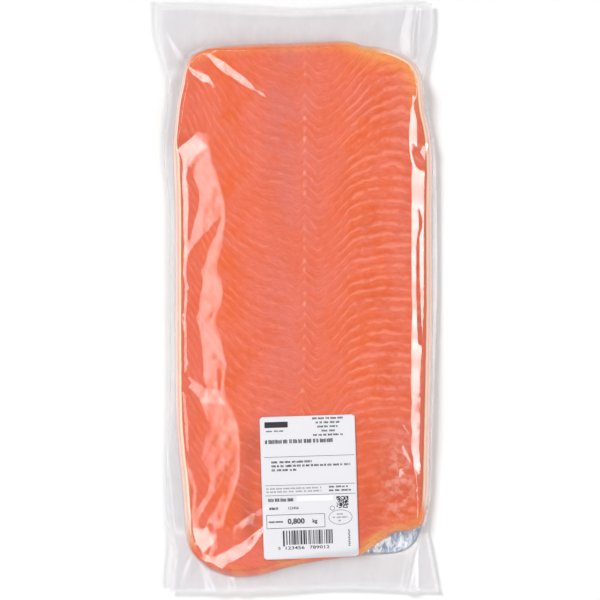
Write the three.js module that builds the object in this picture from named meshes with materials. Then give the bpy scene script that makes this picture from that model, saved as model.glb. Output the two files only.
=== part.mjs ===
// A vacuum pack of presliced smoked salmon, lying flat as it was photographed from above.
// Clear film is sealed round a side of fish that lies on a thin card, with a flat margin all round,
// and a paper label is stuck on the top film. The tight pack is one closed solid and the label another.
// Units are millimetres, +Z is up, +Y runs to the pack's head end, and the origin is under its middle.

import * as THREE from "three";

// Driving sizes of the pack
const CARD_THICKNESS = 0.8;
const FILM_THICKNESS = 0.2;
const SEAL_THICKNESS = 0.8;
const SEAM_HEIGHT = 4.6;

// The sliced side: thickest along its middle, with a thin flank on the left and a thin end at the bottom.
// Each drop is the share of the thickness that is lost between the two places, across or along the fish.
const FISH = {
  thickness: 14.6,
  crown: { x: 6, halfWidth: 80, drop: 0.06 },
  thinFlank: { from: -34, to: -88, drop: 0.34 },
  headEnd: { from: 120, to: 178, drop: 0.12 },
  thinEnd: { from: -80, to: -192, drop: 0.44 },
  unevenness: { share: 0.02, across: [17, -33], along: [41, 26] },
};

// Width over which the film turns down from the fish's top to the seam, and how round that turn is.
// It changes from the right's to the left's between x = middle and x = -middle.
const SHOULDER = { right: 9, left: 13, middle: 50, thinEnd: 3, bareCard: 10, roundness: 2.3 };

// How the film turns up under the card's edge: its width as a share of the seam's height
const UNDERTURN = { share: 0.85, roundness: 1.6 };

// Gentle waves of the free margin, which grow to their height over the reach from the contents.
// The first runs across the pack and fades along it, and the lower second one runs along the pack.
const MARGIN_WAVE = {
  height: 1.1,
  reach: 14,
  first: { across: 15, along: 60, phase: 0.6 },
  second: { across: 40, along: 21, share: 0.7 },
};

// Where the card lies bare, past the thin end of the slices
const BARE_CARD = { x: 72, y: -170, reach: 21, height: 1.9 };

// Driving sizes of the label
const LABEL = {
  width: 65.5,
  length: 98.5,
  thickness: 0.3,
  gap: 0.3,
  corner: 2,
  centre: [7.8, -130.4],
  turnDegrees: 1.8,
};
const LABEL_CELLS = { across: 12, along: 26 };

// Mesh steps: fine by the fish's edge, where the film turns down, and wide over its flat top.
// The turned frames are the grid's outer cells that rise to the seam on the underside.
const EDGE_STEPS = [1.3, 1.8, 2.4, 3.1, 3.9];
const GRID_ACROSS = { length: 165, middleCells: 24 };
const GRID_ALONG = { length: 350, middleCells: 50 };
const MARGIN_STEPS = 4;
const TURNED_FRAMES = 3;

// Stations round the pack, clockwise from above. Each side starts at its corner of the bag.
// Each holds a point of the fish and card's outline, then the point of the bag's cut edge outside it.
const SIDES = {
  top: [
    [-73.5, 166.5, -97.5, 202.5],
    [-61, 172, -64, 202],
    [-30, 174.8, -32, 200.2],
    [5, 175.8, 4, 198.7],
    [37, 176.5, 37, 200],
    [46, 173.4, 48, 200.6],
    [62, 171.3, 68, 202],
  ],
  right: [
    [77.5, 164.2, 93, 203.5],
    [82.6, 158, 92.8, 184],
    [85.4, 151, 88.4, 164],
    [86.2, 143, 87, 147],
    [87.6, 129.5, 88.8, 130],
    [91, 114, 93, 112],
    [92.6, 97, 95, 94],
    [92.4, 52, 96, 52],
    [92.6, -2, 96, -2],
    [91.8, -55, 94.3, -52],
    [90.7, -105, 92.4, -102],
    [90, -136, 91.3, -136],
    [87, -154, 88.9, -154],
    [82.4, -168, 92, -174],
  ],
  bottom: [
    [75.5, -174.5, 97, -203.5],
    [66, -177.6, 73, -202.7],
    [42, -178.5, 42, -201.3],
    [16, -181.5, 14, -201.6],
    [-8, -186.5, -8, -202.4],
    [-28, -192, -30, -202.9],
    [-46, -192.5, -52, -203.1],
  ],
  left: [
    [-61.5, -187, -89.5, -203.5],
    [-73, -176, -88.8, -190],
    [-76.8, -165, -87.2, -174],
    [-78.3, -150, -90.8, -151],
    [-79.8, -130, -91.6, -131],
    [-82.1, -108, -91.1, -107],
    [-84, -82, -89.4, -84],
    [-84.6, -50, -88.6, -50],
    [-84.7, 10, -89, 10],
    [-84.9, 66, -89.3, 66],
    [-86, 104, -93, 98],
    [-84.9, 120, -91.7, 121],
    [-83, 136, -89.5, 141],
    [-80.6, 147, -92.6, 161],
    [-78.6, 157, -97, 181],
  ],
};

// The fish stops short of the card here, so these points replace the outline between two stations.
const THIN_END = [
  [90, -136],
  [88.4, -148],
  [85.8, -157],
  [77, -161.4],
  [68, -162.5],
  [57.5, -168.5],
  [47.5, -175.5],
  [42, -178.5],
];

// Broad folds of the film, each a ridge from one end to the other that fades out at both
const FOLDS = [
  { from: [-90, 101], to: [-64, 108], width: 5, height: 0.9 },
  { from: [-84, -63], to: [-60, -68], width: 5, height: 0.8 },
  { from: [92, 101], to: [78, 98], width: 4, height: 0.7 },
  { from: [-74, -164], to: [-44, -100], width: 7, height: 0.9 },
  { from: [-66, -182], to: [-22, -160], width: 6, height: 1.0 },
  { from: [-95, 186], to: [-72, 160], width: 5, height: 1.3 },
  { from: [78, 199], to: [80, 160], width: 6, height: 1.0 },
  { from: [87, -160], to: [78, -200], width: 5, height: 1.2 },
  { from: [-66, -180], to: [-70, -202], width: 5, height: 1.0 },
];

// Steps between two stations, where a side is measured and where an outline is drawn
const FINE_STEPS = 40;
const OUTLINE_STEPS = 6;

const stations = Object.values(SIDES).flat();
const point = (x, y) => new THREE.Vector3(x, y, 0);
const mix = (a, b, t) => a + (b - a) * t;
const clamp01 = (value) => Math.min(1, Math.max(0, value));

// 0 at the first place and 1 at the second, with a smooth change between them
function smooth(from, to, value) {
  const t = clamp01((value - from) / (to - from));
  return t * t * (3 - 2 * t);
}

// The outline of what is packed is one closed curve, and each side of the bag is an open one.
const contentsCurve = new THREE.CatmullRomCurve3(
  stations.map(([x, y]) => point(x, y)),
  true,
  "centripetal",
);

function bagSideCurve(side, nextCorner) {
  const points = [...side, nextCorner].map((station) => point(station[2], station[3]));
  return new THREE.CatmullRomCurve3(points, false, "centripetal");
}

// The four sides, each with its stations on the closed curve and its own stretch of the bag's edge
function packSides() {
  const lists = Object.values(SIDES);
  let start = 0;
  return lists.map((side, index) => {
    const nextCorner = lists[(index + 1) % lists.length][0];
    const made = { start, count: side.length, bag: bagSideCurve(side, nextCorner) };
    start += side.length;
    return made;
  });
}

// A point of the contents' outline and its partner on the bag's edge, at a share of one side
function outlineAt(side, share) {
  return {
    contents: contentsCurve.getPoint((side.start + side.count * share) / stations.length),
    bag: side.bag.getPoint(share),
  };
}

// Points along one side at the given shares of its real length
function sampleSide(side, shares) {
  const fine = FINE_STEPS * side.count;
  const lengths = [0];
  let last = outlineAt(side, 0).contents;
  for (let i = 1; i <= fine; i++) {
    const here = outlineAt(side, i / fine).contents;
    lengths.push(lengths[i - 1] + here.distanceTo(last));
    last = here;
  }
  return shares.map((share) => {
    const wanted = share * lengths[fine];
    let i = 1;
    while (i < fine && lengths[i] < wanted) i++;
    const within = (wanted - lengths[i - 1]) / (lengths[i] - lengths[i - 1]);
    return outlineAt(side, (i - 1 + within) / fine);
  });
}

// Shares from 0 to 1 of a stretch, whose first and last steps are the fine ones
function gradedShares({ length, middleCells }) {
  const edge = EDGE_STEPS.reduce((places, step) => [...places, places.at(-1) + step], [0]);
  const reach = edge.at(-1);
  const middle = [];
  for (let i = 1; i < middleCells; i++) middle.push(mix(reach, length - reach, i / middleCells));
  const far = edge.map((place) => length - place).reverse();
  return [...edge, ...middle, ...far].map((place) => place / length);
}

// The fish's own outline, which leaves the card bare past the thin end
function fishCurve() {
  const indexOf = ([x, y]) => stations.findIndex((station) => station[0] === x && station[1] === y);
  const before = stations.slice(0, indexOf(THIN_END[0]));
  const after = stations.slice(indexOf(THIN_END.at(-1)) + 1);
  const points = [...before, ...THIN_END, ...after].map(([x, y]) => point(x, y));
  return new THREE.CatmullRomCurve3(points, true, "centripetal");
}

// A closed curve as short straight edges
function outlineOf(curve) {
  return curve.getPoints(OUTLINE_STEPS * curve.points.length).slice(0, -1);
}

const fishOutline = outlineOf(fishCurve());
const contentsOutline = outlineOf(contentsCurve);

// Distance from a point to a closed outline, positive inside it
function insideDistance(outline, x, y) {
  let nearest = Infinity;
  let inside = false;
  outline.forEach((b, i) => {
    const a = outline.at(i - 1);
    const [dx, dy] = [b.x - a.x, b.y - a.y];
    const t = clamp01(((x - a.x) * dx + (y - a.y) * dy) / (dx * dx + dy * dy));
    nearest = Math.min(nearest, Math.hypot(x - a.x - t * dx, y - a.y - t * dy));
    const crosses = a.y > y !== b.y > y && x < a.x + ((y - a.y) / dy) * dx;
    inside = crosses ? !inside : inside;
  });
  return inside ? nearest : -nearest;
}

// How bare the card is at a point: 1 in the middle of the bare corner and 0 away from it
function bareness(x, y) {
  const squared = (x - BARE_CARD.x) ** 2 + (y - BARE_CARD.y) ** 2;
  return Math.exp(-squared / (2 * BARE_CARD.reach ** 2));
}

// Top of the film where the two films meet, at the side of the fish or of the bare card
function seamHeight(x, y) {
  return mix(SEAM_HEIGHT, BARE_CARD.height, bareness(x, y));
}

function fishThickness(x, y) {
  const { thickness, crown, thinFlank, headEnd, thinEnd, unevenness } = FISH;
  const flank = thinFlank.drop * smooth(thinFlank.from, thinFlank.to, x);
  const across = 1 - crown.drop * ((x - crown.x) / crown.halfWidth) ** 2 - flank;
  const head = headEnd.drop * smooth(headEnd.from, headEnd.to, y);
  const along = 1 - head - thinEnd.drop * smooth(thinEnd.from, thinEnd.to, y);
  const bump = (i) => Math.sin(x / unevenness.across[i] + y / unevenness.along[i]);
  return thickness * (across * along + unevenness.share * (bump(0) + bump(1)));
}

function shoulderWidth(x, y) {
  const side = mix(SHOULDER.right, SHOULDER.left, smooth(SHOULDER.middle, -SHOULDER.middle, x));
  const end = SHOULDER.thinEnd * smooth(FISH.thinEnd.from, FISH.thinEnd.to, y);
  return side + end + SHOULDER.bareCard * bareness(x, y);
}

function foldHeight(x, y) {
  return FOLDS.reduce((sum, { from: [ax, ay], to: [bx, by], width, height }) => {
    const [dx, dy] = [bx - ax, by - ay];
    const length = Math.hypot(dx, dy);
    const along = ((x - ax) * dx + (y - ay) * dy) / length ** 2;
    const off = ((x - ax) * dy - (y - ay) * dx) / length;
    const ridge = height * Math.sin(Math.PI * clamp01(along)) * Math.exp(-((off / width) ** 2));
    return sum + ridge;
  }, 0);
}

function marginWave(x, y, outside) {
  const { height, reach, first, second } = MARGIN_WAVE;
  const across = Math.sin(x / first.across + first.phase) * Math.cos(y / first.along);
  const along = second.share * Math.sin(x / second.across + y / second.along);
  return height * smooth(0, reach, outside) * (across + along);
}

// Height of the pack's upper surface
function upperHeight(x, y) {
  const outside = Math.max(0, -insideDistance(contentsOutline, x, y));
  const seam = seamHeight(x, y) + marginWave(x, y, outside);
  const full = FILM_THICKNESS + CARD_THICKNESS + fishThickness(x, y) + FILM_THICKNESS;
  const t = clamp01(insideDistance(fishOutline, x, y) / shoulderWidth(x, y));
  return seam + (full - seam) * (1 - (1 - t) ** SHOULDER.roundness) + foldHeight(x, y);
}

// Height of the pack's lower surface: level under the card, then up to the margin's underside
function lowerHeight(x, y, upper) {
  const margin = upper - SEAL_THICKNESS;
  const inside = insideDistance(contentsOutline, x, y);
  const seam = seamHeight(x, y);
  const t = clamp01(inside / (UNDERTURN.share * seam));
  const turned = (seam - SEAL_THICKNESS) * (1 - t) ** UNDERTURN.roundness;
  return inside <= 0 ? margin : Math.min(margin, turned);
}

// One grid over the contents, filled in between its four sides, and rings from there to the bag's edge
function packPlan() {
  const [top, right, bottom, left] = packSides();
  const across = gradedShares(GRID_ACROSS);
  const along = gradedShares(GRID_ALONG);
  const reversed = (shares) => shares.map((share) => 1 - share).reverse();
  const edges = {
    top: sampleSide(top, across),
    right: sampleSide(right, along),
    bottom: sampleSide(bottom, reversed(across)),
    left: sampleSide(left, reversed(along)),
  };
  const lastColumn = across.length - 1;
  const lastRow = along.length - 1;
  const T = edges.top.map((p) => p.contents);
  const R = edges.right.map((p) => p.contents);
  const B = edges.bottom.map((p) => p.contents).reverse();
  const L = edges.left.map((p) => p.contents).reverse();
  const grid = along.map((v, row) =>
    across.map((u, column) => {
      const blend = (axis) =>
        mix(T[column][axis], B[column][axis], v) +
        mix(L[row][axis], R[row][axis], u) -
        mix(mix(T[0][axis], T[lastColumn][axis], u), mix(B[0][axis], B[lastColumn][axis], u), v);
      return [blend("x"), blend("y")];
    }),
  );
  const around = [edges.top, edges.right, edges.bottom, edges.left].flatMap((edge) => edge.slice(0, -1));
  return { grid, around, lastRow, lastColumn };
}

// Places of the frame at this depth of the grid, in the order of the points round the bag
function frameOfGrid(depth, lastRow, lastColumn) {
  const [bottom, right] = [lastRow - depth, lastColumn - depth];
  const frame = [];
  for (let c = depth; c < right; c++) frame.push([depth, c]);
  for (let r = depth; r < bottom; r++) frame.push([r, right]);
  for (let c = right; c > depth; c--) frame.push([bottom, c]);
  for (let r = bottom; r > depth; r--) frame.push([r, depth]);
  return frame;
}

// A mesh under way: its corners, and faces with their corners in anticlockwise order from outside
class ClosedMesh {
  positions = [];
  triangles = [];

  corner(x, y, z) {
    this.positions.push(x, y, z);
    return this.positions.length / 3 - 1;
  }

  quad(a, b, c, d) {
    this.triangles.push(a, b, c, a, c, d);
  }

  geometry() {
    const geometry = new THREE.BufferGeometry();
    geometry.setAttribute("position", new THREE.Float32BufferAttribute(this.positions, 3));
    geometry.setIndex(this.triangles);
    geometry.computeVertexNormals();
    return geometry;
  }
}

// The level face under the card, split into triangles between the corners of the innermost turned frame
function closeLevelFace(mesh, frame, grid, lower) {
  const outline = frame.map(([r, c]) => new THREE.Vector2(...grid[r][c]));
  for (const triangle of THREE.ShapeUtils.triangulateShape(outline, [])) {
    const [a, b, c] = triangle.map((i) => outline[i]);
    const turn = b.clone().sub(a).cross(c.clone().sub(a));
    const corners = triangle.map((i) => lower[frame[i][0]][frame[i][1]]);
    mesh.triangles.push(...(turn < 0 ? corners : corners.reverse()));
  }
}

function packGeometry() {
  const { grid, around, lastRow, lastColumn } = packPlan();
  const mesh = new ClosedMesh();

  // Upper surface over the contents, where rows run towards the thin end and columns to the right
  const upper = grid.map((row) => row.map(([x, y]) => mesh.corner(x, y, upperHeight(x, y))));
  for (let r = 0; r < lastRow; r++) {
    for (let c = 0; c < lastColumn; c++) {
      mesh.quad(upper[r][c], upper[r + 1][c], upper[r + 1][c + 1], upper[r][c + 1]);
    }
  }

  // Lower surface: the turned frames, then one level face
  const depthOf = (r, c) => Math.min(r, c, lastRow - r, lastColumn - c);
  const lower = grid.map((row, r) =>
    row.map(([x, y], c) => {
      const depth = depthOf(r, c);
      if (depth > TURNED_FRAMES) return null;
      return mesh.corner(x, y, depth === TURNED_FRAMES ? 0 : lowerHeight(x, y, upperHeight(x, y)));
    }),
  );
  for (let r = 0; r < lastRow; r++) {
    for (let c = 0; c < lastColumn; c++) {
      const isTurned = Math.min(depthOf(r, c), depthOf(r + 1, c + 1)) < TURNED_FRAMES;
      if (isTurned) mesh.quad(lower[r][c], lower[r][c + 1], lower[r + 1][c + 1], lower[r + 1][c]);
    }
  }
  closeLevelFace(mesh, frameOfGrid(TURNED_FRAMES, lastRow, lastColumn), grid, lower);

  // The flat margin: rings from the seam to the bag's cut edge, on both faces alike
  const seam = frameOfGrid(0, lastRow, lastColumn);
  const next = (i) => (i + 1) % seam.length;
  let innerUpper = seam.map(([r, c]) => upper[r][c]);
  let innerLower = seam.map(([r, c]) => lower[r][c]);
  for (let step = 1; step <= MARGIN_STEPS; step++) {
    const t = step / MARGIN_STEPS;
    const places = around.map(({ contents, bag }) => contents.clone().lerp(bag, t));
    const heights = places.map(({ x, y }) => upperHeight(x, y));
    const outerUpper = places.map(({ x, y }, i) => mesh.corner(x, y, heights[i]));
    const outerLower = places.map(({ x, y }, i) => mesh.corner(x, y, heights[i] - SEAL_THICKNESS));
    for (let i = 0; i < seam.length; i++) {
      mesh.quad(innerUpper[i], innerUpper[next(i)], outerUpper[next(i)], outerUpper[i]);
      mesh.quad(innerLower[i], outerLower[i], outerLower[next(i)], innerLower[next(i)]);
    }
    innerUpper = outerUpper;
    innerLower = outerLower;
  }
  for (let i = 0; i < seam.length; i++) {
    mesh.quad(innerUpper[i], innerUpper[next(i)], innerLower[next(i)], innerLower[i]);
  }
  return mesh.geometry();
}

// A point of the label at its shares of width and length. The label is a rectangle with rounded corners.
function labelPoint(u, v) {
  const { width, length, corner } = LABEL;
  const turn = THREE.MathUtils.degToRad(LABEL.turnDegrees);
  const localY = (v - 0.5) * length;
  const intoCorner = Math.max(0, Math.abs(localY) - (length / 2 - corner));
  const halfWidth = width / 2 - corner + Math.sqrt(corner ** 2 - intoCorner ** 2);
  const localX = mix(-halfWidth, halfWidth, u);
  return [
    LABEL.centre[0] + localX * Math.cos(turn) - localY * Math.sin(turn),
    LABEL.centre[1] + localX * Math.sin(turn) + localY * Math.cos(turn),
  ];
}

// The label follows the film that it is stuck on: an upper and a lower sheet, closed along their edges
function labelGeometry() {
  const mesh = new ClosedMesh();
  const lastColumn = LABEL_CELLS.across;
  const cornerShare = LABEL.corner / LABEL.length;
  const ending = [0, cornerShare / 3, cornerShare];
  const middle = Array.from({ length: LABEL_CELLS.along - 1 }, (_, i) =>
    mix(cornerShare, 1 - cornerShare, (i + 1) / LABEL_CELLS.along),
  );
  const shares = [...ending, ...middle, ...ending.map((share) => 1 - share).reverse()];
  const lastRow = shares.length - 1;
  const sheetAt = (lift) =>
    shares.map((v) =>
      Array.from({ length: lastColumn + 1 }, (_, c) => {
        const [x, y] = labelPoint(c / lastColumn, v);
        return mesh.corner(x, y, upperHeight(x, y) + lift);
      }),
    );
  const under = sheetAt(LABEL.gap);
  const over = sheetAt(LABEL.gap + LABEL.thickness);
  for (let r = 0; r < lastRow; r++) {
    for (let c = 0; c < lastColumn; c++) {
      mesh.quad(over[r][c], over[r][c + 1], over[r + 1][c + 1], over[r + 1][c]);
      mesh.quad(under[r][c], under[r + 1][c], under[r + 1][c + 1], under[r][c + 1]);
    }
    const [left, right] = [0, lastColumn];
    mesh.quad(under[r + 1][left], under[r][left], over[r][left], over[r + 1][left]);
    mesh.quad(under[r][right], under[r + 1][right], over[r + 1][right], over[r][right]);
  }
  for (let c = 0; c < lastColumn; c++) {
    mesh.quad(under[0][c], under[0][c + 1], over[0][c + 1], over[0][c]);
    mesh.quad(under[lastRow][c + 1], under[lastRow][c], over[lastRow][c], over[lastRow][c + 1]);
  }
  return mesh.geometry();
}

const packMaterial = new THREE.MeshStandardMaterial({ color: 0xec7a5c, roughness: 0.25, metalness: 0 });
const labelMaterial = new THREE.MeshStandardMaterial({ color: 0xf1eff4, roughness: 0.6, metalness: 0 });

const pack = new THREE.Mesh(packGeometry(), packMaterial);
pack.name = "sealed_pack";

const label = new THREE.Mesh(labelGeometry(), labelMaterial);
label.name = "label";

const product = new THREE.Group();
product.add(pack, label);

export default product;
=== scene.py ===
# A vacuum pack of presliced smoked salmon, seen from straight above on a pale studio floor.
# Clear film lies tight over a side of fish on a foil card, and a printed label is stuck on the top film.
# Shapes are worked out in millimetres, and meshes are made in metres.

import math

import bpy
import mathutils
import numpy as np
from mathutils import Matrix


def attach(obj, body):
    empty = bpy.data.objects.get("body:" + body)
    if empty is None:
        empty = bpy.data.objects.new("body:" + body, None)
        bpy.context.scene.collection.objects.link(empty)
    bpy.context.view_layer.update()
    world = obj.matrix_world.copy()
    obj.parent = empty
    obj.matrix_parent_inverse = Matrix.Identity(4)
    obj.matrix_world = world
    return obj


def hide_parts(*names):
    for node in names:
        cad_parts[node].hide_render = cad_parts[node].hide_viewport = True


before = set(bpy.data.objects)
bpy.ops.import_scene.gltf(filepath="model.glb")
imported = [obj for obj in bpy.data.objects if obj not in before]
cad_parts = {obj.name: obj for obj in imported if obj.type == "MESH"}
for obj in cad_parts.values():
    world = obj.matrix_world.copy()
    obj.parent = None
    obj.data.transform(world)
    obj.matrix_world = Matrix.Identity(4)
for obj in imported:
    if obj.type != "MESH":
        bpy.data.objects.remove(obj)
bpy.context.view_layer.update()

MM = 0.001

# Driving sizes of the pack, as its solids have them
CARD_THICKNESS = 0.8
FILM_THICKNESS = 0.2
SEAL_THICKNESS = 0.8
SEAM_HEIGHT = 4.6
FISH_THICKNESS = 14.6
HEAD_END = {"from": 120, "to": 178, "drop": 0.12}
THIN_END_DROP = {"from": -80, "to": -192, "drop": 0.44}
BARE_CARD = {"x": 72, "y": -170, "reach": 21, "height": 1.9}
MARGIN_WAVE = {"height": 0.7, "reach": 14}
LABEL = {"width": 65.5, "length": 98.5, "thickness": 0.3, "corner": 2.0, "x": 7.8, "y": -130.4, "turn": 1.8}

# Stations round the pack, clockwise from above. Each side starts at its corner of the bag.
# Each holds a point of the contents' outline, then the point of the bag's cut edge outside it.
SIDES = {
    "top": [
        (-73.5, 166.5, -97.5, 202.5), (-61, 172, -64, 202), (-30, 174.8, -32, 200.2),
        (5, 175.8, 4, 198.7), (37, 176.5, 37, 200), (46, 173.4, 48, 200.6),
        (62, 171.3, 68, 202),
    ],
    "right": [
        (77.5, 164.2, 93, 203.5), (82.6, 158, 92.8, 184), (85.4, 151, 88.4, 164),
        (86.2, 143, 87, 147), (87.6, 129.5, 88.8, 130), (91, 114, 93, 112),
        (92.6, 97, 95, 94), (92.4, 52, 96, 52), (92.6, -2, 96, -2),
        (91.8, -55, 94.3, -52), (90.7, -105, 92.4, -102), (90, -136, 91.3, -136),
        (87, -154, 88.9, -154), (82.4, -168, 92, -174),
    ],
    "bottom": [
        (75.5, -174.5, 97, -203.5), (66, -177.6, 73, -202.7), (42, -178.5, 42, -201.3),
        (16, -181.5, 14, -201.6), (-8, -186.5, -8, -202.4), (-28, -192, -30, -202.9),
        (-46, -192.5, -52, -203.1),
    ],
    "left": [
        (-61.5, -187, -89.5, -203.5), (-73, -176, -88.8, -190), (-76.8, -165, -87.2, -174),
        (-78.3, -150, -90.8, -151), (-79.8, -130, -91.6, -131), (-82.1, -108, -91.1, -107),
        (-84, -82, -89.4, -84), (-84.6, -50, -88.6, -50), (-84.7, 10, -89, 10),
        (-84.9, 66, -89.3, 66), (-86, 104, -93, 98), (-84.9, 120, -91.7, 121),
        (-83, 136, -89.5, 141), (-80.6, 147, -92.6, 161), (-78.6, 157, -97, 181),
    ],
}

# The fish stops short of the card here, so these points replace the outline between two stations.
THIN_END = [(90, -136), (88.4, -148), (85.8, -157), (77, -161.4), (68, -162.5), (57.5, -168.5),
            (47.5, -175.5), (42, -178.5)]

# Outside these lines, given as y and x, the film falls away down the left and the right flank.
LEFT_SHOULDER = [(175, -62), (123.5, -67), (112.2, -70.6), (107.2, -65), (98.7, -60.1), (83.5, -57.6),
                 (72.9, -52.1), (57.5, -50), (42.8, -51.2), (27.9, -56.4), (17.4, -57), (6.9, -50.9),
                 (-2.1, -52.1), (-14.5, -60.5), (-29.3, -53.3), (-45.3, -48.4), (-63.8, -54), (-73.6, -49.7),
                 (-86, -41), (-104.2, -39.7), (-119.1, -40.3), (-133.9, -42.8), (-145.9, -49.5),
                 (-155.7, -52.3), (-163.8, -58.6), (-185, -62)]
RIGHT_SHOULDER = [(175, 70), (138.7, 79), (124.9, 77.1), (111, 76), (95.6, 77.3), (89.4, 78.9), (82.1, 78),
                  (33.8, 77.8), (-7.6, 78.5), (-55.9, 77.8), (-75.2, 78.7), (-81.1, 77.8), (-94.5, 78.7),
                  (-104.2, 78.2), (-115.9, 79.7), (-121.7, 81.6), (-160, 84)]

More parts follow.
